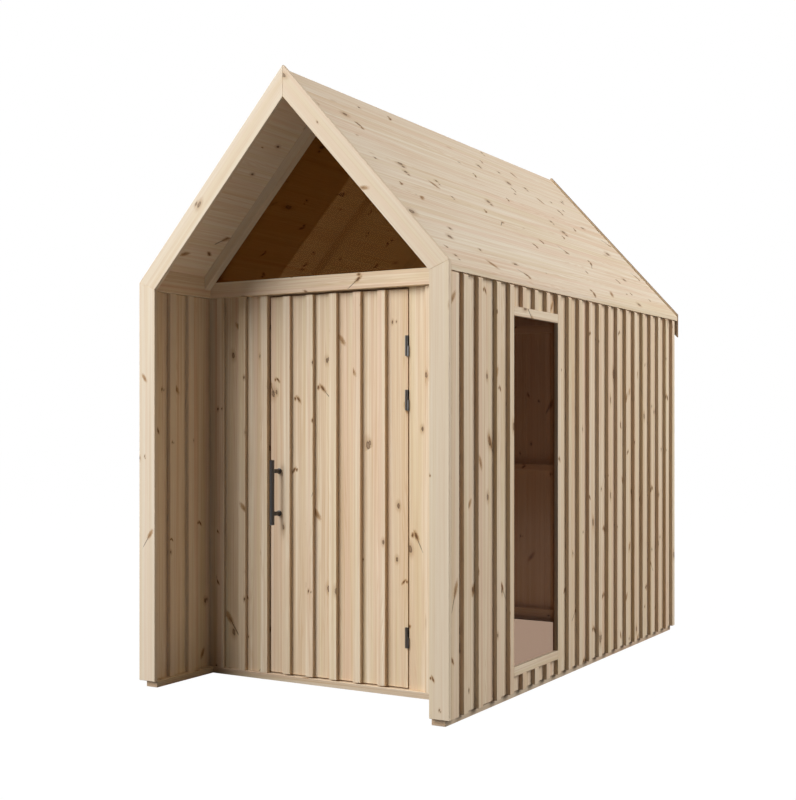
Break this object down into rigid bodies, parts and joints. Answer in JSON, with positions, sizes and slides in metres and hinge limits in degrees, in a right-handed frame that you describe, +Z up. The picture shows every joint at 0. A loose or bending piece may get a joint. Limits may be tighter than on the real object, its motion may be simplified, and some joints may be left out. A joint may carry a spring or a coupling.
{
  "type": "wooden garden shed",
  "caption": "Board and batten timber shed with a steep gabled roof over a recessed porch, an outward opening door, a fixed tall side window and a glazed front gable.",
  "frame": {"origin": "on the ground, in the middle of the shed's outline", "axes": "+X to the right seen from the front, +Y to the back, +Z up; the door faces -Y"},
  "size_m": [1.8, 3.208, 3.059],
  "materials": {
    "timber": "bare planed pine with knots",
    "tinted_glass": "bronze tinted sheet glass",
    "black_metal": "black satin paint"
  },
  "bodies": {
    "shed": {"side_sills": "timber", "end_sills": "timber", "left_wall_boards": "timber", "right_wall_boards_beside_window": "timber", "right_wall_boards_at_window": "timber", "rear_wall_boards": "timber", "front_wall_boards": "timber", "wing_inner_boards": "timber", "left_wall_battens": "timber", "right_wall_battens": "timber", "rear_wall_battens": "timber", "porch_battens": "timber", "lintel": "timber", "door_jambs": "timber", "door_head": "timber", "window_stiles": "timber", "window_rails": "timber", "left_wall_studs": "timber", "right_wall_studs": "timber", "rear_wall_studs": "timber", "side_plates": "timber", "end_plates": "timber", "wall_mid_rails": "timber", "portal_post_left": "timber", "portal_post_right": "timber", "portal_rafter_left": "timber", "portal_rafter_right": "timber", "roof_deck_left": "timber", "roof_deck_right": "timber", "rear_bargeboard_left": "timber", "rear_bargeboard_right": "timber", "front_gable_rafter_left": "timber", "front_gable_rafter_right": "timber", "rear_gable_rafter_left": "timber", "rear_gable_rafter_right": "timber", "middle_rafters": "timber", "gable_glass": "tinted_glass", "window_glass": "tinted_glass", "frame_hinges": "black_metal"},
    "door": {"door_boards": "timber", "door_battens": "timber", "door_ledges": "timber", "door_hinges": "black_metal", "handle_bar": "black_metal", "handle_standoffs": "black_metal"}
  },
  "joints": [
    {"name": "door_hinge", "type": "hinge", "parent": "shed", "child": "door", "pos_m": [0.4, -1.1172, 0], "axis": [0, 0, 1], "range_deg": [0, 110]}
  ]
}
